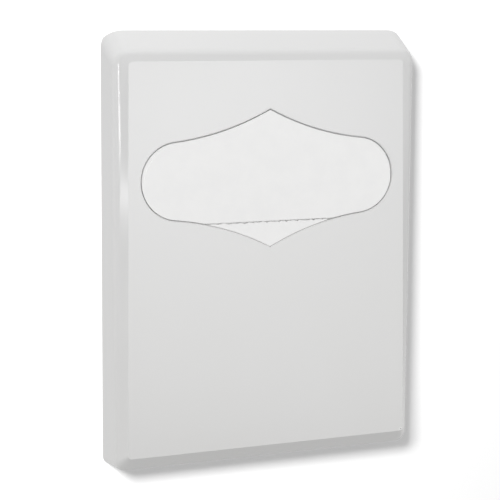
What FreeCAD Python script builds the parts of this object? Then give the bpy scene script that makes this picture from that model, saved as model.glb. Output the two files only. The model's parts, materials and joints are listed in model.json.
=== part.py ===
"""Wall-hung toilet seat cover dispenser: drafted front cover hinged on a moulded back plate.

Millimetres. Origin on the wall plane at the centre of the four wall holes. The front faces -Y,
the width runs along X and +Z is up.
"""
import FreeCAD
import Part

import math
import os

from FreeCAD import Vector

# Cover, outside
WIDTH = 293.4
HEIGHT = 399.6
RISE = 5.2
BOTTOM_Z = RISE - HEIGHT / 2
TOP_Z = BOTTOM_Z + HEIGHT
DEPTH_MIDDLE = 41.25
FRONT_LEAN = 0.03375
SIDE_DRAFT = 1.8
TOP_SLOPE = 0.8
TOP_DRAFT_OFFSET = 10.7
TOP_DRAFT = TOP_SLOPE * DEPTH_MIDDLE - TOP_DRAFT_OFFSET
BOTTOM_DRAFT = 3.6
BACK_TOP_R = 20.0
BACK_BOTTOM_R = 8.2
SHOULDER_TOP_R = 14.0
SHOULDER_BOTTOM_R = 9.5
SHOULDER_TOP_DROP = 1.6
SHOULDER_BOTTOM_DROP = 12.0
ROUND_OVER_R = 8.5
BAND_SIDE_TOP = 14.9
BAND_SIDE_BOTTOM = 9.9
TOP_BAND = 8.2
BAND_TOP = TOP_DRAFT + TOP_BAND
BAND_BOTTOM = 17.6
PANEL_HALF_TOP = WIDTH / 2 - BAND_SIDE_TOP
PANEL_HALF_BOTTOM = WIDTH / 2 - BAND_SIDE_BOTTOM
PANEL_TOP_Z = TOP_Z - BAND_TOP
PANEL_BOTTOM_Z = BOTTOM_Z + BAND_BOTTOM
PANEL_CORNER_R = 4.0
COVER_WALL = 2.6
SHOULDER_THICKENING = 0.9
COVER_OFF_WALL = 0.6
RIB_HEIGHT = 1.2
RIB_HALF_THICKNESS = 0.9
RIB_RISE = 84.6
RIB_SPAN = 50.0
RIB_INSET = 56.7
RIB_LOW_Z = BOTTOM_Z + RIB_RISE
RIB_HIGH_Z = RIB_LOW_Z + RIB_SPAN
RIB_X = WIDTH / 2 - RIB_INSET
RIB_ROOT = 1.8
OVERCUT = 5.0

# Window: two lobes joined by four long arcs that meet in a point above and below
WINDOW_DROP = 135.6
WINDOW_Z = TOP_Z - WINDOW_DROP
WINDOW_APEX = 62.2
LOBE_INSET = 60.0
LOBE_X = WIDTH / 2 - LOBE_INSET
LOBE_R = 35.0
FLANK_R = 250.0
WINDOW_RIM_R = 0.9
WINDOW_CUT_DEPTH = 12.0

# Hinge at the top of the cover
HINGE_Y = -10.6
HINGE_DROP = 14.0
HINGE_Z = TOP_Z - HINGE_DROP
PIN_R = 1.25
PIN_CLEARANCE = 0.05
PIN_HEAD_R = 2.1
PIN_HEAD_LENGTH = 1.4
KNUCKLE_R = 2.5
KNUCKLE_INSET = 39.7
KNUCKLE_X = WIDTH / 2 - KNUCKLE_INSET
KNUCKLE_LENGTH = 11.2
BRACE_REACH = 9.0
BRACE_INSET = 4.0
EAR_THICKNESS = 3.0
EAR_GAP = 0.4
EAR_R = 2.4
EAR_FOOT = 22.0
EAR_BEND = 3.0
EAR_ROOT = 1.0
RELIEF_Y = 7.0
RELIEF_BEND = 4.7
RELIEF_DROP = 11.5

# Back plate
PLATE_THICKNESS = 2.8
PLATE_EDGE_GAP = 1.2
PLATE_DROP = 20.0
PLATE_TOP_Z = TOP_Z - PLATE_DROP
PLATE_BOTTOM_GAP = 1.2
PLATE_CORNER_R = 12.0
RIM_INSET = 1.5
RIM_THICKNESS = 2.0
WALL_HOLE_SIDE = 36.7
WALL_HOLE_END = 59.8
WALL_HOLE_X = WIDTH / 2 - WALL_HOLE_SIDE
WALL_HOLE_Z = HEIGHT / 2 - WALL_HOLE_END
WALL_HOLE_R = 2.75
WALL_PAD_R = 8.0
WALL_PAD_HEIGHT = 1.2
RAIL_X = (30.0, 85.0)
RAIL_WIDTH = 2.5
RAIL_DROP = 12.0
RAIL_TOP_Z = PLATE_TOP_Z - RAIL_DROP
CROSS_RIB_OFFSET = 60.0
CROSS_RIB_Z = WALL_HOLE_Z - CROSS_RIB_OFFSET
CROSS_RIB_THICKNESS = 2.0
CROSS_RIB_SETBACK = 1.5

# Pack of covers and what holds it
PACK_SIDE_ROOM = 31.4
PACK_DEPTH_ROOM = 18.65
PACK_LOW_ROOM = 23.1
PACK_HIGH_ROOM = 27.0
PACK_WIDTH = WIDTH - PACK_SIDE_ROOM
PACK_THICKNESS = DEPTH_MIDDLE - PACK_DEPTH_ROOM
PACK_TO_COVER = 2.4
PACK_BOTTOM_Z = BOTTOM_Z + PACK_LOW_ROOM
PACK_TOP_Z = TOP_Z - PACK_HIGH_ROOM
PACK_FOLD_R = 0.4 * PACK_THICKNESS
LEDGE_THICKNESS = 2.5
LEDGE_LIP = 8.0
GUSSET_X = (60.0, 110.0)
GUSSET_DROP = 15.0
GUSSET_SETBACK = 4.0
GUSSET_THICKNESS = 2.0
LIP_THICKNESS = 1.2
LIP_GAP = 0.1
GUIDE_GAP = 1.5
GUIDE_THICKNESS = 2.0
GUIDE_SETBACK = 7.0
GUIDE_CHAMFER = 15.0
GUIDE_DROP = 84.5
GUIDE_TOP_Z = TOP_Z - GUIDE_DROP
SHEET = 0.35
SHEET_GAP = 0.15
FRONT_LEAF_EDGE_DROP = 38.4
FRONT_LEAF_TOP_DROP = 0.2
FRONT_LEAF_MARGIN = 2.4
FRONT_LEAF_EDGE_Z = WINDOW_Z - FRONT_LEAF_EDGE_DROP
FRONT_LEAF_TOP_Z = WINDOW_Z + WINDOW_APEX - FRONT_LEAF_TOP_DROP
FRONT_LEAF_HALF = LOBE_X + LOBE_R + FRONT_LEAF_MARGIN
FRONT_LEAF_CORNER_R = 88.0

# Cam lock in the underside of the cover
LOCK_DEPTH_SHARE = 6 / 11
LOCK_Y = -LOCK_DEPTH_SHARE * DEPTH_MIDDLE
LOCK_BODY_R = 7.0
LOCK_HEAD_R = 9.0
LOCK_HEAD_THICKNESS = 1.6
LOCK_SEAT_RISE = 5.0
LOCK_PAD_THICKNESS = 3.4
LOCK_LENGTH = 9.6
LOCK_PAD_MARGIN = 3.0
LOCK_SEAT_Z = BOTTOM_Z + LOCK_SEAT_RISE
LOCK_PAD_TOP_Z = LOCK_SEAT_Z + LOCK_PAD_THICKNESS
LOCK_PAD_R = LOCK_HEAD_R + LOCK_PAD_MARGIN
LOCK_TOP_Z = LOCK_SEAT_Z + LOCK_LENGTH
RIM_TO_PAD = 3.5
RIM_HEIGHT = -LOCK_Y - LOCK_PAD_R - RIM_TO_PAD
LOCK_FIT = 0.1
LOCK_FLAT = 0.8
NUT_R = 10.0
NUT_HEIGHT = 3.0
NUT_CLEARANCE = 0.05
PLUG_R = 5.0
PLUG_CLEARANCE = 0.05
PLUG_SQUARE = 5.0
KEY_SLOT_WIDTH = 1.8
KEY_SLOT_LENGTH = 7.2
KEY_SLOT_DEPTH = 3.5
CAM_TO_WALL = 7.5
CAM_LENGTH = -LOCK_Y - CAM_TO_WALL
CAM_WIDTH = 7.0
CAM_THICKNESS = 1.8
CAM_HUB_MARGIN = 1.5
CAM_HUB_R = CAM_WIDTH / 2 + CAM_HUB_MARGIN
CAM_TIP_R = 2.0
CAM_SCREW_R = 3.2
CAM_SCREW_HEAD = 1.6
CAM_SCREW_EDGE = 0.5
SCREW_CROSS_HALF = 2.0
SCREW_CROSS_WIDTH = 0.8
SCREW_CROSS_DEPTH = 0.8
KEEPER_X = 8.5
KEEPER_WIDTH = 6.0
KEEPER_GAP = 0.7
KEEPER_THICKNESS = 3.2
KEEPER_DROP = 1.0


def save(shape, name):
    """Writes one piece as a STEP file named after its node."""
    shape.exportStep("parts/" + name + ".step")
    print(name, "valid", shape.isValid(), "solids", len(shape.Solids), "volume", round(shape.Volume, 1))


def box(x0, x1, y0, y1, z0, z1):
    """A box between two corners."""
    return Part.makeBox(x1 - x0, y1 - y0, z1 - z0, Vector(x0, y0, z0))


def rod_x(x0, x1, y, z, radius):
    """A round bar along X."""
    return Part.makeCylinder(radius, x1 - x0, Vector(x0, y, z), Vector(1, 0, 0))


def rod_z(x, y, z0, z1, radius):
    """A round bar along Z."""
    return Part.makeCylinder(radius, z1 - z0, Vector(x, y, z0), Vector(0, 0, 1))


def prism_yz(points, x0, x1):
    """A prism along X with its outline given as (y, z) corners."""
    corners = [Vector(x0, y, z) for y, z in points]
    face = Part.Face(Part.makePolygon(corners + corners[:1]))
    return face.extrude(Vector(x1 - x0, 0, 0))


def front_depth(z):
    """How far the flat front stands off the wall at height z; it leans out towards the bottom."""
    return DEPTH_MIDDLE - FRONT_LEAN * z


def shoulder_depth(z):
    """How far the virtual corner between the walls and the front band stands off the wall."""
    along = (z - BOTTOM_Z - BOTTOM_DRAFT) / (HEIGHT - BOTTOM_DRAFT - TOP_DRAFT)
    return front_depth(z) - SHOULDER_BOTTOM_DROP + along * (SHOULDER_BOTTOM_DROP - SHOULDER_TOP_DROP)


def outline(half_top, half_bottom, z_top, z_bottom, radii, depth_of):
    """A four-sided outline with (top, bottom) corner radii; depth_of gives the distance off the wall at z."""
    corners = [(-half_bottom, z_bottom), (half_bottom, z_bottom), (half_top, z_top), (-half_top, z_top)]
    points = [Vector(x, 0, z) for x, z in corners]
    edges = []
    ends = []
    for i, corner in enumerate(points):
        before = (points[i - 1] - corner).normalize()
        after = (points[(i + 1) % 4] - corner).normalize()
        radius = radii[1] if i < 2 else radii[0]
        half_angle = before.getAngle(after) / 2
        reach = radius / math.tan(half_angle)
        middle = (before + after).normalize() * (radius / math.sin(half_angle) - radius)
        ends.append((corner + before * reach, corner + middle, corner + after * reach))
    for i, (start, middle, end) in enumerate(ends):
        knots = [at_depth(p, depth_of) for p in (start, middle, end)]
        edges.append(Part.Arc(*knots).toShape())
        edges.append(Part.LineSegment(knots[2], at_depth(ends[(i + 1) % 4][0], depth_of)).toShape())
    return Part.Wire(edges)


def at_depth(point, depth_of):
    """Moves a point of an outline out to its distance off the wall."""
    return Vector(point.x, -depth_of(point.z), point.z)


def cover_form(inset, thickening):
    """The cover's form drawn in by inset, and by thickening more at the shoulder; its walls stay straight."""
    half, deep = WIDTH / 2 - inset, inset + thickening
    back = outline(half, half, TOP_Z - inset, BOTTOM_Z + inset, (BACK_TOP_R - inset, BACK_BOTTOM_R - inset),
                   lambda z: 0.0)
    half -= SIDE_DRAFT + thickening
    shoulder = outline(half, half, TOP_Z - TOP_DRAFT - inset, BOTTOM_Z + BOTTOM_DRAFT + inset,
                       (SHOULDER_TOP_R - inset, SHOULDER_BOTTOM_R - inset), lambda z: shoulder_depth(z) - deep)
    panel = outline(PANEL_HALF_TOP - inset / 2, PANEL_HALF_BOTTOM - inset / 2, PANEL_TOP_Z - inset / 2,
                    PANEL_BOTTOM_Z + inset / 2, (PANEL_CORNER_R, PANEL_CORNER_R),
                    lambda z: front_depth(z) - inset)
    walls = Part.makeLoft([back, shoulder], True, True)
    crown = Part.makeLoft([shoulder, panel], True, True)
    return walls.fuse(crown).removeSplitter()


def rounded_shoulder(form):
    """Rounds the edges where the drafted walls turn into the front band."""
    found = []
    for edge in form.Edges:
        middle = edge.valueAt((edge.FirstParameter + edge.LastParameter) / 2)
        points = [middle] + [vertex.Point for vertex in edge.Vertexes]
        if all(abs(point.y + shoulder_depth(point.z)) < 0.05 for point in points):
            found.append(edge)
    return form.makeFillet(ROUND_OVER_R, found)


def flank_centre():
    """Centre of the long arc in the window's upper right quarter, about the window's own centre."""
    gap = math.hypot(LOBE_X, WINDOW_APEX)
    reach = LOBE_R + FLANK_R
    along = (gap ** 2 + FLANK_R ** 2 - reach ** 2) / (2 * gap)
    across = math.sqrt(FLANK_R ** 2 - along ** 2)
    toward = Vector(LOBE_X / gap, 0, -WINDOW_APEX / gap)
    square = Vector(WINDOW_APEX / gap, 0, LOBE_X / gap)
    return Vector(0, 0, WINDOW_APEX) + toward * along + square * across


def window_wire(grow, depth):
    """The window grown by grow all round, at a depth below the front: two lobes and four long arcs."""
    centre = flank_centre()
    lobe = Vector(LOBE_X, 0, 0)
    flank = FLANK_R - grow
    touch = centre + (lobe - centre).normalize() * flank
    apex = Vector(0, 0, centre.z - math.sqrt(flank ** 2 - centre.x ** 2))
    mid = centre + ((apex + touch) * 0.5 - centre).normalize() * flank
    tip = lobe + Vector(LOBE_R + grow, 0, 0)
    edges = []
    for sx in (1, -1):
        edges.append(arc(mirrored(apex, sx, sx), mirrored(mid, sx, sx), mirrored(touch, sx, sx)))
        edges.append(arc(mirrored(touch, sx, sx), mirrored(tip, sx, sx), mirrored(touch, sx, -sx)))
        edges.append(arc(mirrored(touch, sx, -sx), mirrored(mid, sx, -sx), mirrored(apex, sx, -sx)))
    wire = Part.Wire(edges)
    wire.translate(Vector(0, depth, 0))
    return wire


def arc(start, middle, end):
    """An arc edge through three points."""
    return Part.Arc(start, middle, end).toShape()


def mirrored(point, sx, sz):
    """Mirrors a point of the window about its centre lines."""
    return Vector(point.x * sx, point.y, point.z * sz)


def window_cutter():
    """The solid that cuts the window square to the leaning front, with its outer rim eased."""
    wires = [window_wire(WINDOW_RIM_R, -WINDOW_CUT_DEPTH), window_wire(WINDOW_RIM_R, 0.0),
             window_wire(0.3 * WINDOW_RIM_R, 0.3 * WINDOW_RIM_R), window_wire(0.0, WINDOW_RIM_R),
             window_wire(0.0, WINDOW_CUT_DEPTH)]
    cutter = Part.makeLoft(wires, True, True)
    cutter.rotate(Vector(0, 0, 0), Vector(1, 0, 0), -math.degrees(math.atan(FRONT_LEAN)))
    cutter.translate(Vector(0, -front_depth(WINDOW_Z), WINDOW_Z))
    return cutter


def front_cover():
    """The one-piece moulded cover with its window, hinge knuckles, lock seat and inner ribs."""
    outer = rounded_shoulder(cover_form(0.0, 0.0))
    inner = cover_form(COVER_WALL, SHOULDER_THICKENING)
    back_slab = box(-WIDTH, WIDTH, -COVER_OFF_WALL, OVERCUT, -HEIGHT, HEIGHT)
    shell = outer.cut(inner)
    additions = cover_ribs(inner) + cover_knuckles(outer) + [lock_pad(outer)]
    shell = shell.fuse(additions).removeSplitter()
    relief = prism_yz([(OVERCUT, TOP_Z - RELIEF_DROP), (-COVER_OFF_WALL, TOP_Z - RELIEF_DROP),
                       (-RELIEF_Y, TOP_Z - RELIEF_BEND), (-RELIEF_Y, HEIGHT), (OVERCUT, HEIGHT)], -WIDTH, WIDTH)
    shell = shell.cut([window_cutter(), back_slab, relief])
    for side in (-1, 1):
        shell = shell.cut(rod_x(side * KNUCKLE_X - KNUCKLE_LENGTH, side * KNUCKLE_X + KNUCKLE_LENGTH,
                                HINGE_Y, HINGE_Z, PIN_R + PIN_CLEARANCE))
    seat = rod_z(0, LOCK_Y, -HEIGHT, LOCK_SEAT_Z, LOCK_HEAD_R + LOCK_FIT)
    bore = rod_z(0, LOCK_Y, -HEIGHT, LOCK_PAD_TOP_Z + OVERCUT, LOCK_BODY_R + LOCK_FIT)
    return shell.cut([seat, bore]).removeSplitter()


def cover_ribs(inner):
    """Low stiffening ribs inside the cover, below the window."""
    high, low = RIB_HIGH_Z, RIB_LOW_Z
    ribs = []
    for z in (high, low):
        ribs.append(box(-WIDTH / 2, WIDTH / 2, -2 * DEPTH_MIDDLE, -front_depth(z) + COVER_WALL + RIB_HEIGHT,
                        z - RIB_HALF_THICKNESS, z + RIB_HALF_THICKNESS))
    for x in (-RIB_X, 0.0, RIB_X):
        ribs.append(prism_yz([(-2 * DEPTH_MIDDLE, low), (-front_depth(low) + COVER_WALL + RIB_HEIGHT, low),
                              (-front_depth(high) + COVER_WALL + RIB_HEIGHT, high), (-2 * DEPTH_MIDDLE, high)],
                             x - RIB_HALF_THICKNESS, x + RIB_HALF_THICKNESS))
    return [rib.common(inner.fuse(cover_front_slab())) for rib in ribs]


def cover_front_slab():
    """The thickness of the front wall, so that the ribs root in it."""
    panel = outline(PANEL_HALF_TOP, PANEL_HALF_BOTTOM, PANEL_TOP_Z, PANEL_BOTTOM_Z,
                    (PANEL_CORNER_R, PANEL_CORNER_R), lambda z: front_depth(z) - COVER_WALL + RIB_ROOT)
    return Part.Face(panel).extrude(Vector(0, COVER_WALL, 0))


def cover_knuckles(outer):
    """Two knuckles under the top wall that turn on the hinge pins."""
    knuckles = []
    for side in (-1, 1):
        x0 = side * KNUCKLE_X - KNUCKLE_LENGTH / 2
        x1 = x0 + KNUCKLE_LENGTH
        barrel = rod_x(x0, x1, HINGE_Y, HINGE_Z, KNUCKLE_R)
        web = box(x0, x1, HINGE_Y - KNUCKLE_R, HINGE_Y + KNUCKLE_R, HINGE_Z, TOP_Z)
        brace = box(x0 + BRACE_INSET, x1 - BRACE_INSET, HINGE_Y - BRACE_REACH, HINGE_Y, HINGE_Z, TOP_Z)
        knuckles.append(barrel.fuse([web.common(outer), brace.common(outer)]))
    return knuckles


def lock_pad(outer):
    """A round pad inside the bottom wall that gives the lock a level seat."""
    pad = rod_z(0, LOCK_Y, BOTTOM_Z, LOCK_PAD_TOP_Z, LOCK_PAD_R)
    return pad.common(outer)


def plate_outline(grow, y):
    """The back plate's outline at depth y."""
    half = WIDTH / 2 - COVER_WALL - PLATE_EDGE_GAP + grow
    low = BOTTOM_Z + COVER_WALL + PLATE_BOTTOM_GAP - grow
    radius = PLATE_CORNER_R + grow
    return outline(half, half, PLATE_TOP_Z + grow, low, (radius, radius), lambda z: -y)


def back_plate():
    """The moulded back plate with its rim, rails, guides, ledge, keeper and hinge ears."""
    plate = Part.Face(plate_outline(0.0, 0.0)).extrude(Vector(0, -PLATE_THICKNESS, 0))
    rim_outer = Part.Face(plate_outline(-RIM_INSET, 0.0)).extrude(Vector(0, -RIM_HEIGHT, 0))
    rim_inner = Part.Face(plate_outline(-RIM_INSET - RIM_THICKNESS, OVERCUT))
    rim_inner = rim_inner.extrude(Vector(0, -RIM_HEIGHT - 2 * OVERCUT, 0))
    pieces = [rim_outer.cut(rim_inner)]
    pieces += plate_rails()
    pieces += pack_guides()
    pieces += pack_ledge()
    pieces += hinge_ears()
    pad_top = PLATE_THICKNESS + WALL_PAD_HEIGHT
    pieces += [Part.makeCylinder(WALL_PAD_R, pad_top, Vector(x, 0, z), Vector(0, -1, 0))
               for x, z in wall_holes()]
    plate = plate.fuse(pieces).removeSplitter()
    through = pad_top + 2 * OVERCUT
    holes = [Part.makeCylinder(WALL_HOLE_R, through, Vector(x, OVERCUT, z), Vector(0, -1, 0))
             for x, z in wall_holes()]
    return plate.cut(holes)


def wall_holes():
    """The centres of the four wall holes."""
    return [(sx * WALL_HOLE_X, sz * WALL_HOLE_Z) for sx in (-1, 1) for sz in (-1, 1)]


def pack_front(z):
    """Where the pack's front lies at height z; the pack leans with the cover's front."""
    return -front_depth(z) + COVER_WALL + PACK_TO_COVER


def pack_back(z):
    """Where the pack's back lies at height z."""
    return pack_front(z) + PACK_THICKNESS


def leaning_slab(x0, x1, z0, z1, front, back):
    """A slab that leans with the pack; front and back give its faces at a height."""
    return prism_yz([(front(z0), z0), (front(z1), z1), (back(z1), z1), (back(z0), z0)], x0, x1)


def plate_rails():
    """Upright rails that carry the back of the pack, tied by two cross ribs."""
    rails = []
    for x in RAIL_X:
        for side in (-1, 1):
            rails.append(leaning_slab(side * x - RAIL_WIDTH / 2, side * x + RAIL_WIDTH / 2,
                                      PACK_BOTTOM_Z, RAIL_TOP_Z, pack_back, lambda z: 0.0))
    for z in (-CROSS_RIB_Z, CROSS_RIB_Z):
        rails.append(box(-PACK_WIDTH / 2, PACK_WIDTH / 2, pack_back(z) + CROSS_RIB_SETBACK, 0.0,
                         z - CROSS_RIB_THICKNESS / 2, z + CROSS_RIB_THICKNESS / 2))
    return rails


def pack_guides():
    """A wall on each side that keeps the pack in line, with a slanted top corner."""
    inside = PACK_WIDTH / 2 + GUIDE_GAP
    foot = PACK_BOTTOM_Z - LEDGE_THICKNESS
    bend = GUIDE_TOP_Z - GUIDE_CHAMFER
    walls = []
    for side in (-1, 1):
        x0 = min(side * inside, side * (inside + GUIDE_THICKNESS))
        front_foot = pack_front(foot) + GUIDE_SETBACK
        front_bend = pack_front(bend) + GUIDE_SETBACK
        walls.append(prism_yz([(0.0, foot), (front_foot, foot), (front_bend, bend),
                               (front_bend + GUIDE_CHAMFER, GUIDE_TOP_Z), (0.0, GUIDE_TOP_Z)],
                              x0, x0 + GUIDE_THICKNESS))
    return walls


def pack_ledge():
    """The ledge under the pack, its front lip, the gussets below it and the lock's keeper."""
    half = PACK_WIDTH / 2 + GUIDE_GAP + GUIDE_THICKNESS
    lip_back = leaf_back(PACK_BOTTOM_Z) - SHEET - LIP_GAP
    front = lip_back - LIP_THICKNESS
    under = PACK_BOTTOM_Z - LEDGE_THICKNESS
    ledge = box(-half, half, front, 0.0, under, PACK_BOTTOM_Z)
    lip = box(-half, half, front, lip_back, under, PACK_BOTTOM_Z + LEDGE_LIP)
    pieces = [ledge, lip]
    for x in GUSSET_X:
        for side in (-1, 1):
            pieces.append(prism_yz([(0.0, under), (front + GUSSET_SETBACK, under), (0.0, under - GUSSET_DROP)],
                                   side * x - GUSSET_THICKNESS / 2, side * x + GUSSET_THICKNESS / 2))
    keeper_back = LOCK_Y - CAM_WIDTH / 2 - KEEPER_GAP
    pieces.append(box(KEEPER_X, KEEPER_X + KEEPER_WIDTH, keeper_back - KEEPER_THICKNESS, keeper_back,
                      LOCK_TOP_Z - KEEPER_DROP, under))
    return pieces


def hinge_ears():
    """Two pairs of ears that carry the hinge pins above the plate's top edge."""
    ears = []
    for side in (-1, 1):
        for end in (-1, 1):
            near = side * KNUCKLE_X + end * (KNUCKLE_LENGTH / 2 + EAR_GAP)
            x0 = min(near, near + end * EAR_THICKNESS)
            root, top = -PLATE_THICKNESS / 2, PLATE_TOP_Z - EAR_ROOT
            front, back = HINGE_Y - EAR_R, HINGE_Y + EAR_R
            post = prism_yz([(root, PLATE_TOP_Z - EAR_FOOT), (front, PLATE_TOP_Z - EAR_BEND), (front, HINGE_Z),
                             (back, HINGE_Z), (back, top), (root, top)], x0, x0 + EAR_THICKNESS)
            ear = post.fuse(rod_x(x0, x0 + EAR_THICKNESS, HINGE_Y, HINGE_Z, EAR_R))
            ears.append(ear.cut(rod_x(x0 - OVERCUT, x0 + EAR_THICKNESS + OVERCUT, HINGE_Y, HINGE_Z, PIN_R)))
    return ears


def hinge_pin(side):
    """A steel pin pressed into one pair of ears, with its head on the outer side."""
    span = KNUCKLE_LENGTH / 2 + EAR_GAP + EAR_THICKNESS
    x_in = side * (KNUCKLE_X - span)
    x_out = side * (KNUCKLE_X + span)
    shank = rod_x(min(x_in, x_out), max(x_in, x_out), HINGE_Y, HINGE_Z, PIN_R)
    head_end = x_out + side * PIN_HEAD_LENGTH
    head = rod_x(min(x_out, head_end), max(x_out, head_end), HINGE_Y, HINGE_Z, PIN_HEAD_R)
    return shank.fuse(head).removeSplitter()


def seat_cover_pack():
    """The stack of folded paper covers as one leaning block, with the folds rounded along its top."""
    block = leaning_slab(-PACK_WIDTH / 2, PACK_WIDTH / 2, PACK_BOTTOM_Z, PACK_TOP_Z, pack_front, pack_back)
    top = [e for e in block.Edges if abs(e.BoundBox.ZMin - PACK_TOP_Z) < 0.01 and e.BoundBox.XLength > 1]
    return block.makeFillet(PACK_FOLD_R, top)


def leading_seat_cover():
    """The first cover: a rear leaf the size of the pack, and on it a shorter leaf with wide round corners."""
    half = PACK_WIDTH / 2
    rear_leaf = leaning_slab(-half, half, PACK_BOTTOM_Z, PACK_TOP_Z - PACK_FOLD_R,
                             lambda z: leaf_back(z) - SHEET, leaf_back)
    shadow = Part.Face(front_leaf_outline()).extrude(Vector(0, -2 * DEPTH_MIDDLE, 0))
    layer = leaning_slab(-half, half, FRONT_LEAF_EDGE_Z, FRONT_LEAF_TOP_Z,
                         lambda z: leaf_back(z) - 2 * SHEET, lambda z: leaf_back(z) - SHEET)
    return rear_leaf.fuse(layer.common(shadow)).removeSplitter()


def leaf_back(z):
    """Where the back of the leading cover lies at height z, a little clear of the pack."""
    return pack_front(z) - SHEET_GAP


def front_leaf_outline():
    """The front leaf seen from the front: a straight lower edge and wide round upper corners."""
    half, radius = FRONT_LEAF_HALF, FRONT_LEAF_CORNER_R
    low, top = FRONT_LEAF_EDGE_Z, FRONT_LEAF_TOP_Z
    bend = radius * math.sqrt(0.5)
    spring = top - radius
    edges = [Part.LineSegment(Vector(-half, 0, low), Vector(half, 0, low)).toShape(),
             Part.LineSegment(Vector(half, 0, low), Vector(half, 0, spring)).toShape(),
             arc(Vector(half, 0, spring), Vector(half - radius + bend, 0, spring + bend),
                 Vector(half - radius, 0, top)),
             Part.LineSegment(Vector(half - radius, 0, top), Vector(radius - half, 0, top)).toShape(),
             arc(Vector(radius - half, 0, top), Vector(radius - half - bend, 0, spring + bend),
                 Vector(-half, 0, spring)),
             Part.LineSegment(Vector(-half, 0, spring), Vector(-half, 0, low)).toShape()]
    return Part.Wire(edges)


def lock_barrel():
    """The lock's fixed barrel with a flange under the cover."""
    flange = rod_z(0, LOCK_Y, LOCK_SEAT_Z - LOCK_HEAD_THICKNESS, LOCK_SEAT_Z, LOCK_HEAD_R)
    body = rod_z(0, LOCK_Y, LOCK_SEAT_Z, LOCK_TOP_Z, LOCK_BODY_R)
    flats = []
    for side in (-1, 1):
        edge = side * (LOCK_BODY_R - LOCK_FLAT)
        flats.append(box(min(edge, side * NUT_R), max(edge, side * NUT_R), LOCK_Y - NUT_R, LOCK_Y + NUT_R,
                         LOCK_PAD_TOP_Z, LOCK_TOP_Z))
    bore = rod_z(0, LOCK_Y, -HEIGHT, 0, PLUG_R + PLUG_CLEARANCE)
    return flange.fuse(body).cut(flats + [bore]).removeSplitter()


def lock_nut():
    """The hexagon nut that clamps the barrel to the pad inside the cover."""
    corners = [Vector(NUT_R * math.cos(math.radians(60 * i)), LOCK_Y + NUT_R * math.sin(math.radians(60 * i)),
                      LOCK_PAD_TOP_Z) for i in range(6)]
    hexagon = Part.Face(Part.makePolygon(corners + corners[:1])).extrude(Vector(0, 0, NUT_HEIGHT))
    return hexagon.cut(rod_z(0, LOCK_Y, -HEIGHT, 0, LOCK_BODY_R + NUT_CLEARANCE))


def lock_plug():
    """The turning plug with its key slot, and the square that carries the cam."""
    plug = rod_z(0, LOCK_Y, LOCK_SEAT_Z - LOCK_HEAD_THICKNESS, LOCK_TOP_Z, PLUG_R)
    slot = box(-KEY_SLOT_WIDTH / 2, KEY_SLOT_WIDTH / 2, LOCK_Y - KEY_SLOT_LENGTH / 2,
               LOCK_Y + KEY_SLOT_LENGTH / 2, BOTTOM_Z, LOCK_SEAT_Z + KEY_SLOT_DEPTH)
    return plug.fuse(plug_square(LOCK_TOP_Z, LOCK_TOP_Z + CAM_THICKNESS)).cut(slot).removeSplitter()


def plug_square(z0, z1):
    """The square that the plug and the cam share."""
    half = PLUG_SQUARE / 2
    return box(-half, half, LOCK_Y - half, LOCK_Y + half, z0, z1)


def lock_cam():
    """The flat cam on the plug's square; it points at the wall while the cover is unlocked."""
    top = LOCK_TOP_Z + CAM_THICKNESS
    bar = box(-CAM_WIDTH / 2, CAM_WIDTH / 2, LOCK_Y, LOCK_Y + CAM_LENGTH, LOCK_TOP_Z, top)
    hub = rod_z(0, LOCK_Y, LOCK_TOP_Z, top, CAM_HUB_R)
    tip = [e for e in bar.Edges if e.BoundBox.YMin > LOCK_Y + CAM_LENGTH - 0.01 and e.BoundBox.ZLength > 1]
    bar = bar.makeFillet(CAM_TIP_R, tip)
    square = plug_square(LOCK_TOP_Z - OVERCUT, top + OVERCUT)
    return bar.fuse(hub).cut(square).removeSplitter()


def cam_screw():
    """The pan-head screw that holds the cam on the plug."""
    z = LOCK_TOP_Z + CAM_THICKNESS
    top = z + CAM_SCREW_HEAD
    head = rod_z(0, LOCK_Y, z, top, CAM_SCREW_R)
    rim = [e for e in head.Edges if abs(e.BoundBox.ZMin - top) < 0.01 and abs(e.BoundBox.ZLength) < 0.01]
    head = head.makeChamfer(CAM_SCREW_EDGE, rim)
    cross = []
    slot = SCREW_CROSS_WIDTH / 2
    for across, along in ((SCREW_CROSS_HALF, slot), (slot, SCREW_CROSS_HALF)):
        cross.append(box(-across, across, LOCK_Y - along, LOCK_Y + along,
                         top - SCREW_CROSS_DEPTH, top + OVERCUT))
    return head.cut(cross)


def main():
    """Builds every piece and writes it."""
    os.makedirs("parts", exist_ok=True)
    save(back_plate(), "back_plate")
    save(hinge_pin(-1), "hinge_pin_left")
    save(hinge_pin(1), "hinge_pin_right")
    save(front_cover(), "front_cover")
    save(lock_barrel(), "lock_barrel")
    save(lock_nut(), "lock_nut")
    save(lock_plug(), "lock_plug")
    save(lock_cam(), "lock_cam")
    save(cam_screw(), "cam_screw")
    save(seat_cover_pack(), "seat_cover_pack")
    save(leading_seat_cover(), "leading_seat_cover")


main()
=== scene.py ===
"""Looks of the wall-hung toilet seat cover dispenser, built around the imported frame.

Metres, in the part's own frame: the wall is the plane y = 0, the front faces -Y and +Z is up.
"""

import json
import math
import random

import bmesh
import bpy
from mathutils import Matrix, Vector

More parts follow.
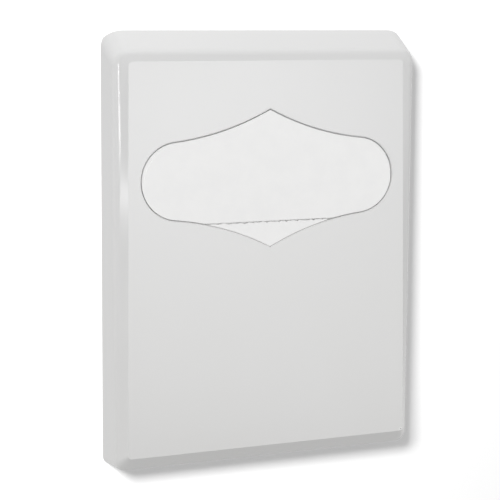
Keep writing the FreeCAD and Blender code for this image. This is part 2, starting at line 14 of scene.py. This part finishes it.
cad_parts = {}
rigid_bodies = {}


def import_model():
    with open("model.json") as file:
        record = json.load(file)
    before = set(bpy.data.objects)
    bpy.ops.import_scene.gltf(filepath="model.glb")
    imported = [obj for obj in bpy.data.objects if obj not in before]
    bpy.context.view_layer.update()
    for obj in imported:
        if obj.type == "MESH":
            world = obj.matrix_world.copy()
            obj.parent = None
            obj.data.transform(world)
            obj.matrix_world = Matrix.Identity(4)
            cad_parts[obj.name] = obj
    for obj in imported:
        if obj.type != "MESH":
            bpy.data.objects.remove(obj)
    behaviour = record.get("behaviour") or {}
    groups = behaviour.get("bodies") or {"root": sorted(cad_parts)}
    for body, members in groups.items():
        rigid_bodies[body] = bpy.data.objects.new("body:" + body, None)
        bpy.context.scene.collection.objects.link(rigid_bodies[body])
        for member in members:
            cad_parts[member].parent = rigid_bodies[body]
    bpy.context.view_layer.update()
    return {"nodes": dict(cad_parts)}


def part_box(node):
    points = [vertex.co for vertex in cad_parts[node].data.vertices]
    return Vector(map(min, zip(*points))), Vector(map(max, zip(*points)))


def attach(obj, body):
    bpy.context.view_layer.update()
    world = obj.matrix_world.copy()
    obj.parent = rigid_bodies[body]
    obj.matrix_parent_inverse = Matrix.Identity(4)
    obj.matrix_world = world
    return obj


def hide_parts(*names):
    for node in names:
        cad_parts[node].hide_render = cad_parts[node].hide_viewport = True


# Camera, solved from the outline in the photograph
CAMERA_AT = Vector((-0.51383, -1.28459, 0.24047))
CAMERA_YAW = 0.37804
CAMERA_PITCH = 0.17395
CAMERA_ROLL = 0.01149
FOCAL_PX = 1508.32
PHOTO_PX = 500.0
SENSOR = 36.0

# Front of the cover: it stands off the wall by FRONT_DEPTH - FRONT_LEAN * z
FRONT_DEPTH = 0.04125
FRONT_LEAN = 0.03375
WINDOW_Z = 0.0694
WINDOW_APEX = 0.0622
LOBE_X = 0.0867
LOBE_R = 0.035
FLANK_R = 0.25
SPECK_AT = (0.1345, -0.175)
SPECK_R = 0.0006
PIN_WIDTH = 0.0004
COVER_PINS = (0.12, 0.004)
PLATE_PINS = (0.09, 0.0035)

# Studio
WORLD_FILL = 0.5
WALL_GAP = 0.0004
FLOOR_Z = -1.9
STAGE_SIZE = 12.0
BACKDROP_GLOW = 0.185
BACKDROP_COLOUR = (0.76, 0.76, 0.76, 1.0)

# Lamps: name, place, width and height, watts
SURFACE_LAMPS = (
    ("key_lamp", (-0.1, -0.3, 1.0), (0.55, 0.55), 3.8),
    ("top_lamp", (0.0, 0.35, 1.0), (0.5, 0.4), 2.5),
    ("left_fill", (-1.4, -0.8, 0.0), (0.6, 0.9), 6.7),
    ("right_fill", (1.4, -0.8, 0.0), (0.6, 0.9), 5.0),
    ("front_fill", (0.2, -1.6, 0.0), (0.9, 0.9), 5.2),
    ("wall_bounce", (-1.1, 0.35, 0.0), (0.6, 0.6), 3.3),
)
GLOSS_LAMPS = (
    ("sheen_card", (0.56, -1.46, -0.14), (0.84, 0.86), 5.1),
    ("high_card", (0.42, -1.46, 0.2), (0.7, 0.55), 1.5),
    ("edge_lamp", (-0.71, -0.93, 0.13), (0.05, 0.28), 2.7),
)
WALL_LAMP = ("wall_lamp", (-1.05, -1.5, 0.77), (0.45, 0.45), 49.5)

# Paper
LEAF_COUNT = 58
LEAF_FILL = 0.9
FOLD_STEPS = 4
LEAF_RAGGED_SIDE = 0.0006
LEAF_RAGGED_END = 0.0012
PACK_THICKNESS = 0.0226
PACK_FOLD_R = 0.009
PACK_SEED = 7

# Leading cover, as depths behind the cover's front; its leaves swell into the window
LEAF_DEPTH = 0.0045
LEAF_THICKNESS = 0.00035
SWELL_REACH = 0.008
SWELL_DEPTH = 0.0034
SWELL_MIDDLE_DEPTH = 0.3 * LEAF_DEPTH + 0.7 * SWELL_DEPTH
REAR_LEAF_DEPTH = 0.0011
FRONT_LEAF_DEPTH = 0.0007
RIM_GAP = 0.0006
LOWER_RIM_GAP = 0.00008
SWELL_EDGE = 0.00025
RISE_CURVE = ((0.1, 0.4), (0.35, 0.12))
FRONT_LEAF_EDGE_Z = 0.031
FRONT_LEAF_TOP_Z = 0.1314
FRONT_LEAF_HALF = 0.1241
FRONT_LEAF_CORNER_R = 0.088
LEAF_EDGE_DRIFT = 3
LEAF_EDGE_GAPS = ((0.001, 0.0), (0.0002, 187.0), (0.0004, 611.0), (0.0005, 977.0))
FLANK_STEPS = 40
LOBE_STEPS = 20


def clear_scene():
    """Takes out whatever the program starts with."""
    for item in list(bpy.data.objects):
        bpy.data.objects.remove(item, do_unlink=True)


class Nodes:
    """A small helper that adds and links nodes in one tree."""

    def __init__(self, tree):
        self.tree = tree
        tree.nodes.clear()

    def add(self, kind, **settings):
        node = self.tree.nodes.new(kind)
        for key, value in settings.items():
            setattr(node, key, value)
        return node

    def link(self, source, target):
        self.tree.links.new(source, target)

    def put(self, target, value):
        """Sets a socket to a constant, or links it where value is a socket."""
        if isinstance(value, bpy.types.NodeSocket):
            self.link(value, target)
        else:
            target.default_value = value

    def maths(self, operation, *values, clamp=False):
        node = self.add("ShaderNodeMath", operation=operation, use_clamp=clamp)
        for socket, value in zip(node.inputs, values):
            self.put(socket, value)
        return node.outputs[0]

    def ramp(self, value, low, high, to_low=0.0, to_high=1.0):
        """Maps low..high smoothly to to_low..to_high."""
        node = self.add("ShaderNodeMapRange", interpolation_type="SMOOTHSTEP")
        for name, item in (("Value", value), ("From Min", low), ("From Max", high),
                           ("To Min", to_low), ("To Max", to_high)):
            self.put(node.inputs[name], item)
        return node.outputs["Result"]

    def noise(self, vector, scale, detail=3.0, roughness=0.5, stretch=None):
        if stretch:
            mapping = self.add("ShaderNodeMapping")
            self.link(vector, mapping.inputs["Vector"])
            mapping.inputs["Scale"].default_value = stretch
            vector = mapping.outputs["Vector"]
        node = self.add("ShaderNodeTexNoise")
        self.link(vector, node.inputs["Vector"])
        node.inputs["Scale"].default_value = scale
        node.inputs["Detail"].default_value = detail
        node.inputs["Roughness"].default_value = roughness
        return node.outputs["Fac"]

    def blend(self, factor, first, second):
        """Mixes two colours."""
        node = self.add("ShaderNodeMix", data_type="RGBA")
        colours = [s for s in node.inputs if s.type == "RGBA"]
        self.put(node.inputs["Factor"], factor)
        self.put(colours[0], first)
        self.put(colours[1], second)
        return next(s for s in node.outputs if s.type == "RGBA")

    def bump(self, height, distance, strength=1.0, normal=None):
        node = self.add("ShaderNodeBump")
        node.inputs["Strength"].default_value = strength
        node.inputs["Distance"].default_value = distance
        self.link(height, node.inputs["Height"])
        if normal is not None:
            self.link(normal, node.inputs["Normal"])
        return node.outputs["Normal"]


def surface(name, **constants):
    """A new material: its node helper, its shader and the object coordinates."""
    material = bpy.data.materials.new(name)
    material.use_nodes = True
    nodes = Nodes(material.node_tree)
    shader = nodes.add("ShaderNodeBsdfPrincipled")
    output = nodes.add("ShaderNodeOutputMaterial")
    nodes.link(shader.outputs["BSDF"], output.inputs["Surface"])
    for key, value in constants.items():
        shader.inputs[key.replace("_", " ")].default_value = value
    coordinates = nodes.add("ShaderNodeTexCoord")
    return material, nodes, shader, coordinates


def split(nodes, vector):
    """The x, y and z of a vector socket."""
    node = nodes.add("ShaderNodeSeparateXYZ")
    nodes.link(vector, node.inputs[0])
    return node.outputs[0], node.outputs[1], node.outputs[2]


def grey(level, warmth=0.0):
    """A nearly neutral colour; warmth takes a little blue out."""
    return (level, level * (1 - 0.25 * warmth), level * (1 - warmth), 1.0)


def ring_marks(nodes, x, z, pitch, radius, width):
    """Round ejector-pin marks on a square pitch: 1 on each ring, 0 elsewhere."""
    def cell(value):
        return nodes.maths("SUBTRACT", nodes.maths("PINGPONG", value, pitch / 2), pitch / 4)
    away = nodes.maths("SQRT", nodes.maths("ADD", nodes.maths("POWER", cell(x), 2.0),
                                           nodes.maths("POWER", cell(z), 2.0)))
    off = nodes.maths("ABSOLUTE", nodes.maths("SUBTRACT", away, radius))
    return nodes.ramp(off, 0.0, width, 1.0, 0.0)


def cover_plastic():
    """Gloss white moulded plastic, satin on the inside, with a tiny dark speck low on the right."""
    material, nodes, shader, coordinates = surface("gloss_white_plastic", IOR=1.52)
    place = coordinates.outputs["Object"]
    x, _, z = split(nodes, place)
    cloud = nodes.noise(place, 9.0, 2.0)
    # darker and a little warmer towards the bottom, in cloudy patches
    lower = nodes.ramp(z, 0.15, -0.2, 0.0, 0.75)
    low_tint = nodes.maths("MULTIPLY", lower, nodes.ramp(cloud, 0.3, 0.7, 0.55, 1.0))
    tone = nodes.blend(low_tint, grey(0.675, 0.004), grey(0.655, 0.022))

    outward = nodes.add("ShaderNodeVectorMath", operation="DOT_PRODUCT")
    nodes.link(place, outward.inputs[0])
    nodes.link(coordinates.outputs["Normal"], outward.inputs[1])
    inside = nodes.ramp(outward.outputs["Value"], 0.0, -0.004)
    pins = nodes.maths("MULTIPLY", ring_marks(nodes, x, z, *COVER_PINS, PIN_WIDTH), inside)
    tone = nodes.blend(nodes.maths("MULTIPLY", pins, 0.25), tone, grey(0.55))

    dx = nodes.maths("SUBTRACT", x, SPECK_AT[0])
    dz = nodes.maths("SUBTRACT", z, SPECK_AT[1])
    away = nodes.maths("SQRT", nodes.maths("ADD", nodes.maths("POWER", dx, 2.0),
                                           nodes.maths("POWER", dz, 2.0)))
    speck = nodes.ramp(away, SPECK_R, SPECK_R * 0.55)
    halo = nodes.maths("MULTIPLY", nodes.ramp(away, SPECK_R * 3.2, SPECK_R * 1.6), 0.5)
    tone = nodes.blend(halo, tone, grey(0.9))
    tone = nodes.blend(speck, tone, grey(0.035))
    nodes.link(tone, shader.inputs["Base Color"])

    smear = nodes.noise(place, 14.0, 4.0, 0.6, stretch=(1.0, 1.0, 0.25))
    gloss = nodes.ramp(smear, 0.3, 0.75, 0.2, 0.26)
    rough = nodes.add("ShaderNodeMix", data_type="FLOAT")
    nodes.put(rough.inputs["Factor"], inside)
    nodes.put(rough.inputs[2], gloss)
    nodes.put(rough.inputs[3], 0.45)
    nodes.link(rough.outputs[0], shader.inputs["Roughness"])

    skin = nodes.bump(nodes.noise(place, 900.0, 2.0), 0.00002, 0.35)
    sink = nodes.bump(nodes.noise(place, 16.0, 1.0), 0.0002, 0.35, skin)
    nodes.link(nodes.bump(pins, 0.0002, 0.8, sink), shader.inputs["Normal"])
    return material


def plate_plastic():
    """Satin white moulded plastic with a fine spark texture and ejector-pin marks."""
    material, nodes, shader, coordinates = surface("satin_white_plastic", IOR=1.5)
    place = coordinates.outputs["Object"]
    x, _, z = split(nodes, place)
    cloud = nodes.noise(place, 12.0, 4.0, 0.6)
    pins = ring_marks(nodes, x, z, *PLATE_PINS, PIN_WIDTH)
    tone = nodes.blend(nodes.ramp(cloud, 0.3, 0.7), grey(0.70, 0.01), grey(0.735, 0.015))
    tone = nodes.blend(nodes.maths("MULTIPLY", pins, 0.3), tone, grey(0.5))
    nodes.link(tone, shader.inputs["Base Color"])
    grain = nodes.noise(place, 2600.0, 2.0)
    nodes.link(nodes.ramp(grain, 0.2, 0.8, 0.42, 0.58), shader.inputs["Roughness"])
    spark = nodes.bump(grain, 0.00004, 0.5)
    nodes.link(nodes.bump(pins, 0.0002, 0.8, spark), shader.inputs["Normal"])
    return material


def metal(name, level, rough_low, rough_high, stretch, scale):
    """A metal whose fine lines run along the axis that stretch leaves smallest."""
    material, nodes, shader, coordinates = surface(name, Metallic=1.0)
    place = coordinates.outputs["Object"]
    lines = nodes.noise(place, scale, 3.0, 0.6, stretch=stretch)
    patches = nodes.noise(place, 180.0, 3.0)
    tone = nodes.blend(nodes.ramp(patches, 0.3, 0.75), grey(level), grey(level * 0.86, 0.01))
    nodes.link(tone, shader.inputs["Base Color"])
    nodes.link(nodes.ramp(lines, 0.25, 0.75, rough_low, rough_high), shader.inputs["Roughness"])
    nodes.link(nodes.bump(lines, 0.00002, 0.4), shader.inputs["Normal"])
    return material


def tissue_paper():
    """Soft white tissue: long fibres, a faint crepe and a little mottling."""
    material, nodes, shader, coordinates = surface("tissue_paper", Specular_IOR_Level=0.15)
    place = coordinates.outputs["Object"]
    mottle = nodes.noise(place, 60.0, 5.0, 0.65)
    fibres = nodes.noise(place, 700.0, 4.0, 0.7, stretch=(1.0, 1.0, 0.35))
    crepe = nodes.noise(place, 420.0, 2.0, 0.5, stretch=(0.12, 1.0, 1.0))
    tone = nodes.blend(nodes.ramp(mottle, 0.3, 0.7), grey(0.905, 0.005), grey(0.925, 0.008))
    tone = nodes.blend(nodes.ramp(fibres, 0.55, 0.8, 0.0, 0.12), tone, grey(0.87, 0.02))
    nodes.link(tone, shader.inputs["Base Color"])
    nodes.link(nodes.ramp(fibres, 0.3, 0.7, 0.82, 0.95), shader.inputs["Roughness"])
    soft = nodes.bump(crepe, 0.00008, 0.4)
    nodes.link(nodes.bump(fibres, 0.00003, 0.5, soft), shader.inputs["Normal"])
    return material


def backdrop_material():
    """White to the camera from its front, with the object's shadow on it, and clear to all else."""
    material = bpy.data.materials.new("studio_backdrop")
    material.use_nodes = True
    nodes = Nodes(material.node_tree)
    rays = nodes.add("ShaderNodeLightPath")
    side = nodes.add("ShaderNodeNewGeometry")
    seen = nodes.maths("MULTIPLY", rays.outputs["Is Camera Ray"],
                       nodes.maths("SUBTRACT", 1.0, side.outputs["Backfacing"]))
    paint = nodes.add("ShaderNodeBsdfDiffuse")
    paint.inputs["Color"].default_value = BACKDROP_COLOUR
    glow = nodes.add("ShaderNodeEmission")
    glow.inputs["Strength"].default_value = BACKDROP_GLOW
    both = nodes.add("ShaderNodeAddShader")
    nodes.link(paint.outputs[0], both.inputs[0])
    nodes.link(glow.outputs[0], both.inputs[1])
    mix = nodes.add("ShaderNodeMixShader")
    nodes.link(seen, mix.inputs["Fac"])
    nodes.link(nodes.add("ShaderNodeBsdfTransparent").outputs[0], mix.inputs[1])
    nodes.link(both.outputs[0], mix.inputs[2])
    nodes.link(mix.outputs[0], nodes.add("ShaderNodeOutputMaterial").inputs["Surface"])
    return material


def plane(name, centre, normal, size, material):
    """A square stage plane that faces along normal."""
    half = size / 2
    mesh = bpy.data.meshes.new(name)
    corners = [(-half, -half, 0), (half, -half, 0), (half, half, 0), (-half, half, 0)]
    mesh.from_pydata(corners, [], [(0, 1, 2, 3)])
    mesh.materials.append(material)
    item = bpy.data.objects.new(name, mesh)
    item.rotation_euler = Vector(normal).to_track_quat("Z", "Y").to_euler()
    item.location = centre
    bpy.context.scene.collection.objects.link(item)
    return item


def build_stage():
    """The wall behind the dispenser, the floor far below it and the even white round them."""
    material = backdrop_material()
    planes = [plane("stage_wall", (0, WALL_GAP, 0), (0, -1, 0), STAGE_SIZE, material),
              plane("stage_floor", (0, 0, FLOOR_Z), (0, 0, 1), STAGE_SIZE, material)]
    world = bpy.data.worlds.new("studio")
    world.use_nodes = True
    bpy.context.scene.world = world
    nodes = Nodes(world.node_tree)
    rays = nodes.add("ShaderNodeLightPath")
    shown = nodes.maths("ADD", rays.outputs["Is Camera Ray"], rays.outputs["Is Glossy Ray"], clamp=True)
    shown = nodes.maths("ADD", shown, rays.outputs["Is Transmission Ray"], clamp=True)
    sky = nodes.add("ShaderNodeBackground")
    nodes.link(nodes.ramp(shown, 0.0, 1.0, WORLD_FILL, 1.0), sky.inputs["Strength"])
    nodes.link(sky.outputs[0], nodes.add("ShaderNodeOutputWorld").inputs["Surface"])
    return planes


def lamp(name, at, size, watts, receivers, mirrored=False):
    """A rectangular soft lamp that lights the receivers; a mirrored one shows in the gloss alone."""
    data = bpy.data.lights.new(name, "AREA")
    data.shape = "RECTANGLE"
    data.size, data.size_y = size
    data.energy = watts
    item = bpy.data.objects.new(name, data)
    item.location = at
    item.rotation_euler = (-item.location).to_track_quat("-Z", "Y").to_euler()
    item.visible_camera = False
    item.visible_glossy = mirrored
    item.visible_diffuse = not mirrored
    item.light_linking.receiver_collection = receivers
    bpy.context.scene.collection.objects.link(item)


def lit_group(name, items):
    """A collection of the objects that one set of lamps lights."""
    group = bpy.data.collections.new(name)
    for item in items:
        group.objects.link(item)
    return group


def build_lamps(parts, stage):
    """The lamps of the dispenser's surface, those that show in its gloss alone, and the wall's own lamp."""
    dispenser = lit_group("lit_dispenser", parts)
    backdrop = lit_group("lit_backdrop", stage)
    for row in SURFACE_LAMPS:
        lamp(*row, dispenser)
    for row in GLOSS_LAMPS:
        lamp(*row, dispenser, True)
    lamp(*WALL_LAMP, backdrop)


def build_camera():
    """The photograph's camera."""
    yaw, pitch, roll = CAMERA_YAW, CAMERA_PITCH, CAMERA_ROLL
    look = Vector((math.sin(yaw) * math.cos(pitch), math.cos(yaw) * math.cos(pitch), -math.sin(pitch)))
    right = Vector((math.cos(yaw), -math.sin(yaw), 0.0))
    down = look.cross(right)
    turned_right = right * math.cos(roll) - down * math.sin(roll)
    turned_down = right * math.sin(roll) + down * math.cos(roll)
    data = bpy.data.cameras.new("camera")
    data.sensor_width = SENSOR
    data.lens = FOCAL_PX / PHOTO_PX * SENSOR
    item = bpy.data.objects.new("camera", data)
    axes = Matrix((turned_right, -turned_down, -look)).transposed()
    item.matrix_world = Matrix.Translation(CAMERA_AT) @ axes.to_4x4()
    bpy.context.scene.collection.objects.link(item)
    bpy.context.scene.camera = item


def mesh_object(name, mesh_code, material, body):
    """A new object of the dispenser, riding on a body."""
    mesh = bpy.data.meshes.new(name)
    bm = bmesh.new()
    mesh_code(bm)
    bmesh.ops.recalc_face_normals(bm, faces=bm.faces)
    bm.to_mesh(mesh)
    bm.free()
    mesh.materials.append(material)
    item = bpy.data.objects.new(name, mesh)
    bpy.context.scene.collection.objects.link(item)
    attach(item, body)
    return item


def folded_leaf(bm, half, front, thickness, low, high):
    """One folded cover in the pack: a flat slab with a round fold along its top, leaning with the front."""
    radius = thickness / 2
    profile = [(thickness, low), (thickness, high - radius)]
    for step in range(1, FOLD_STEPS):
        angle = math.pi * step / FOLD_STEPS
        profile.append((radius + radius * math.cos(angle), high - radius + radius * math.sin(angle)))
    profile += [(0.0, high - radius), (0.0, low)]
    rows = [[bm.verts.new((x, front(z) + y, z)) for y, z in profile] for x in (-half, half)]
    count = len(profile)
    for i in range(count):
        j = (i + 1) % count
        bm.faces.new((rows[0][i], rows[0][j], rows[1][j], rows[1][i]))
    bm.faces.new(rows[0])
    bm.faces.new(rows[1][::-1])


def build_pack(material):
    """The pack as single folded covers, each a little out of line with the next."""
    low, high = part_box("seat_cover_pack")
    pitch = PACK_THICKNESS / LEAF_COUNT
    draw = random.Random(PACK_SEED)

    def leaves(bm):
        for i in range(LEAF_COUNT):
            start = i * pitch
            depth = min(start, PACK_THICKNESS - start - pitch)
            drop = 0.0
            if depth < PACK_FOLD_R:
                drop = PACK_FOLD_R - math.sqrt(PACK_FOLD_R ** 2 - (PACK_FOLD_R - depth) ** 2)
            folded_leaf(bm, high.x - draw.random() * LEAF_RAGGED_SIDE,
                        lambda z: low.y + start + FRONT_LEAN * (z - low.z), pitch * LEAF_FILL,
                        low.z + draw.random() * LEAF_RAGGED_END,
                        high.z - drop - draw.random() * LEAF_RAGGED_END)

    pack = mesh_object("pack_of_covers", leaves, material, "base")
    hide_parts("seat_cover_pack")
    return pack


def front_y(z, depth):
    """Where a point lies that is depth behind the cover's front at height z."""
    return depth - FRONT_DEPTH + FRONT_LEAN * z


def window_columns(inset):
    """The window drawn in by inset, as columns (x, half height) from its right tip to its left tip."""
    reach = FLANK_R + LOBE_R
    across = math.hypot(LOBE_X, WINDOW_APEX)
    along = (reach ** 2 - FLANK_R ** 2 + across ** 2) / (2 * across)
    off = math.sqrt(reach ** 2 - along ** 2)
    centre = (LOBE_X - along * LOBE_X / across + off * WINDOW_APEX / across,
              along * WINDOW_APEX / across + off * LOBE_X / across)
    join = math.atan2(centre[1], centre[0] - LOBE_X)
    flank = FLANK_R + inset
    half = []
    for step in range(LOBE_STEPS):
        angle = join * step / LOBE_STEPS
        half.append((LOBE_X + (LOBE_R - inset) * math.cos(angle), (LOBE_R - inset) * math.sin(angle)))
    touch = centre[0] - flank * math.cos(join)
    for step in range(FLANK_STEPS + 1):
        x = touch * (1 - step / FLANK_STEPS)
        half.append((x, centre[1] - math.sqrt(flank ** 2 - (x - centre[0]) ** 2)))
    return half + [(-x, z) for x, z in half[-2::-1]]


def leaf_edge_gap(x):
    """How far the dark gap under the front leaf's lower edge opens at x."""
    along = x * (1 + LEAF_EDGE_DRIFT * x)
    return sum(size * math.cos(pace * along + pace) for size, pace in LEAF_EDGE_GAPS)


def swelling(bm, rings, bounds):
    """A raised field of paper: rings are (inset, depth) inwards, and bounds clips each column."""
    loops = []
    for inset, depth in rings:
        columns = [(x, *bounds(x, WINDOW_Z - z, WINDOW_Z + z, inset)) for x, z in window_columns(inset)]
        loops.append((columns, depth))
    keep = [i for i, (_, low, high) in enumerate(loops[-1][0]) if high > low]
    keep = range(keep[0], keep[-1] + 1)
    rows = []
    for columns, depth in loops:
        upper = [(columns[i][0], columns[i][2]) for i in keep]
        lower = [(columns[i][0], columns[i][1]) for i in keep]
        ring = upper + lower[::-1]
        rows.append([bm.verts.new((x, front_y(z, depth), z)) for x, z in ring])
    count = len(rows[0])
    for outer, inner in zip(rows, rows[1:]):
        for i in range(count):
            j = (i + 1) % count
            bm.faces.new((outer[i], outer[j], inner[j], inner[i]))
    last = rows[-1]
    for i in range(count // 2 - 1):
        bm.faces.new((last[i], last[i + 1], last[count - 2 - i], last[count - 1 - i]))


def rising(start, depth_from, depth_to):
    """Rings that rise steeply from one depth to another, with a rounded top edge."""
    rise = depth_from - depth_to
    curve = [(start + across * SWELL_EDGE, depth_to + left * rise) for across, left in RISE_CURVE]
    return [(start, depth_from)] + curve + [(start + SWELL_EDGE, depth_to)]


def build_leading_cover(material):
    """The cover at the front of the pack: its rear leaf and, on that, a shorter leaf with round corners."""
    low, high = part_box("leading_seat_cover")

    def whole(x, z0, z1, inset):
        return z0, z1

    def above_edge(x, z0, z1, inset):
        return max(z0, FRONT_LEAF_EDGE_Z + inset - RIM_GAP), z1

    def below_edge(x, z0, z1, inset):
        return z0, min(z1, FRONT_LEAF_EDGE_Z - max(leaf_edge_gap(x), 0.0) - inset + LOWER_RIM_GAP)

    def front_leaf(x, z0, z1, inset):
        corner = FRONT_LEAF_CORNER_R - inset + RIM_GAP
        out = max(abs(x) - FRONT_LEAF_HALF + FRONT_LEAF_CORNER_R, 0.0)
        rise = math.sqrt(max(corner ** 2 - out ** 2, 0.0))
        top = FRONT_LEAF_TOP_Z - FRONT_LEAF_CORNER_R + rise
        return max(z0, FRONT_LEAF_EDGE_Z + inset - RIM_GAP - SWELL_EDGE), min(z1, top)

    def leaves(bm):
        ends = [(front_y(z, depth), z) for z, depth in
                ((low.z, LEAF_DEPTH), (high.z, LEAF_DEPTH), (high.z, LEAF_DEPTH + LEAF_THICKNESS),
                 (low.z, LEAF_DEPTH + LEAF_THICKNESS))]
        sides = [[bm.verts.new((x, y, z)) for y, z in ends] for x in (low.x, high.x)]
        for i in range(4):
            j = (i + 1) % 4
            bm.faces.new((sides[0][i], sides[0][j], sides[1][j], sides[1][i]))
        bm.faces.new(sides[0])
        bm.faces.new(sides[1][::-1])
        swelling(bm, [(-SWELL_REACH, LEAF_DEPTH), (-0.5 * SWELL_REACH, SWELL_MIDDLE_DEPTH),
                      (-RIM_GAP, SWELL_DEPTH), (0.0, SWELL_DEPTH)], whole)
        swelling(bm, rising(RIM_GAP, SWELL_DEPTH, REAR_LEAF_DEPTH), above_edge)
        swelling(bm, rising(LOWER_RIM_GAP, SWELL_DEPTH, REAR_LEAF_DEPTH), below_edge)
        swelling(bm, rising(RIM_GAP + 0.5 * SWELL_EDGE, REAR_LEAF_DEPTH, FRONT_LEAF_DEPTH), front_leaf)

    cover = mesh_object("leading_cover", leaves, material, "base")
    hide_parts("leading_seat_cover")
    return cover


def dress(frame):
    """Gives every CAD node that stays its procedural material."""
    cover = cover_plastic()
    plate = plate_plastic()
    steel = metal("bright_steel", 0.62, 0.22, 0.4, (0.05, 1.0, 1.0), 1500.0)
    chrome = metal("polished_chrome", 0.78, 0.05, 0.12, (1.0, 1.0, 1.0), 400.0)
    finish = {
        "front_cover": cover, "back_plate": plate, "hinge_pin_left": steel, "hinge_pin_right": steel,
        "lock_barrel": chrome, "lock_plug": chrome, "lock_nut": steel, "lock_cam": steel, "cam_screw": steel,
    }
    for node, material in finish.items():
        data = frame["nodes"][node].data
        data.materials.clear()
        data.materials.append(material)
    return [frame["nodes"][node] for node in finish]


clear_scene()
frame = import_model()
bpy.context.scene.view_settings.view_transform = "Standard"
paper = tissue_paper()
parts = dress(frame) + [build_pack(paper), build_leading_cover(paper)]
build_lamps(parts, build_stage())
build_camera()
